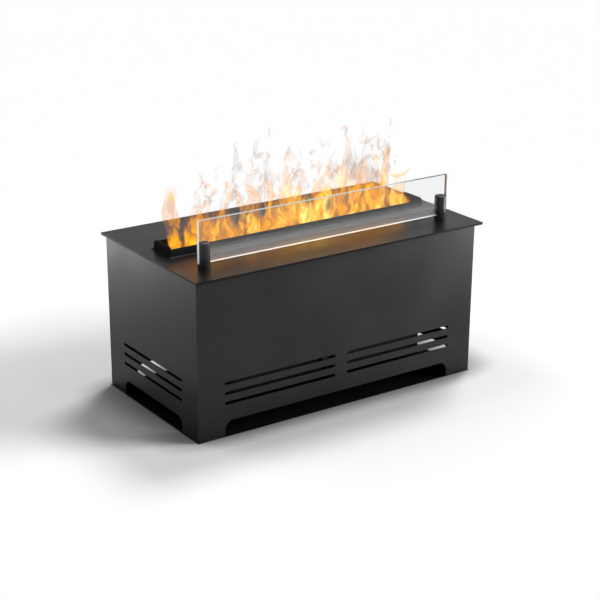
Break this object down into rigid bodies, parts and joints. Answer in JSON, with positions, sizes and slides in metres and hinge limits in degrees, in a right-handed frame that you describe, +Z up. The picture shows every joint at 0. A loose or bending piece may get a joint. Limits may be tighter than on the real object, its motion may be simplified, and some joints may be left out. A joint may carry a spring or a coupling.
{
  "type": "water vapour fireplace",
  "caption": "Free-standing black steel box fireplace with a low glass pane: lit water vapour rises from a long outlet in its top plate and looks like flames.",
  "frame": {"origin": "on the floor, under the middle of the top plate and of the whole part", "axes": "+X right seen from the front, +Y to the back, +Z up"},
  "size_m": [0.615, 0.335, 0.5025],
  "materials": {
    "black_steel": "fine-textured satin powder coat",
    "plate_black": "smooth semi-gloss powder coat",
    "post_black": "satin black turned steel",
    "zinc_sheet": "zinc-coated sheet",
    "screw_steel": "plated",
    "seal_rubber": "matt",
    "bar_aluminium": "extruded",
    "led_strip": "lit",
    "lens_clear": "clear",
    "lit_vapour": "lit vapour",
    "basin_plastic": "moulded",
    "holder_plastic": "moulded",
    "fan_plastic": "moulded",
    "runner_plastic": "slippery moulded strip",
    "hose_clear": "milky silicone",
    "disc_brass": "plated",
    "board_green": "solder mask",
    "clear_glass": "polished clear float glass",
    "tank_plastic": "milky translucent",
    "cap_blue": "moulded",
    "rocker_red": "moulded",
    "float_white": "moulded foam"
  },
  "bodies": {
    "casing": {"front_panel": "black_steel", "back_panel": "black_steel", "left_panel": "black_steel", "right_panel": "black_steel", "corner_angles": "zinc_sheet"},
    "burner": {"top_plate": "plate_black", "left_post": "post_black", "right_post": "post_black", "post_screws": "screw_steel", "glass_pads": "seal_rubber", "mist_hood": "zinc_sheet", "hood_nuts": "screw_steel", "slit_plate": "black_steel", "led_bars": "bar_aluminium", "led_strips": "led_strip", "led_lenses": "lens_clear", "vapour_flames": "lit_vapour", "housing_deck": "zinc_sheet", "insert_housing": "zinc_sheet", "basin_shelf": "zinc_sheet", "mist_basin": "basin_plastic", "transducer_holders": "holder_plastic", "transducer_discs": "disc_brass", "float_stem": "holder_plastic", "fan_frame": "fan_plastic", "tank_runners": "runner_plastic", "tank_dock": "holder_plastic", "suction_hose": "hose_clear", "feed_pump": "fan_plastic", "feed_hose": "hose_clear", "power_supply": "bar_aluminium", "control_board": "board_green", "board_standoffs": "disc_brass", "board_parts": "fan_plastic", "inlet_socket": "fan_plastic", "switch_frame": "fan_plastic"},
    "collar": {"outlet_collar": "black_steel"},
    "glass": {"glass_pane": "clear_glass"},
    "tank": {"water_tank": "tank_plastic", "tank_valve": "holder_plastic", "tank_handle": "fan_plastic"},
    "cap": {"tank_cap": "cap_blue", "cap_seal": "seal_rubber"},
    "fan": {"fan_impeller": "fan_plastic"},
    "rocker": {"switch_rocker": "rocker_red"},
    "float": {"level_float": "float_white"}
  },
  "joints": [
    {"name": "burner_lift", "type": "slide", "parent": "casing", "child": "burner", "axis": [0, 0, 1], "range_m": [0, 0.26]},
    {"name": "collar_lift", "type": "slide", "parent": "burner", "child": "collar", "axis": [0, 0, 1], "range_m": [0, 0.04]},
    {"name": "glass_lift", "type": "slide", "parent": "burner", "child": "glass", "axis": [0, 0, 1], "range_m": [0, 0.06]},
    {"name": "tank_slide", "type": "slide", "parent": "burner", "child": "tank", "axis": [0, 1, 0], "range_m": [0, 0.225]},
    {"name": "cap_turn", "type": "hinge", "parent": "tank", "child": "cap", "pos_m": [0.09, 0.084, 0.106], "axis": [0, 0, 1], "range_deg": [0, 90]},
    {"name": "fan_spin", "type": "hinge", "parent": "burner", "child": "fan", "pos_m": [-0.006, -0.108, 0.072], "axis": [0, 1, 0], "continuous": true},
    {"name": "rocker_tilt", "type": "hinge", "parent": "burner", "child": "rocker", "pos_m": [0.18, 0.1405, 0.13], "axis": [1, 0, 0], "range_deg": [0, 20]},
    {"name": "float_rise", "type": "slide", "parent": "burner", "child": "float", "axis": [0, 0, 1], "range_m": [0, 0.018]}
  ]
}
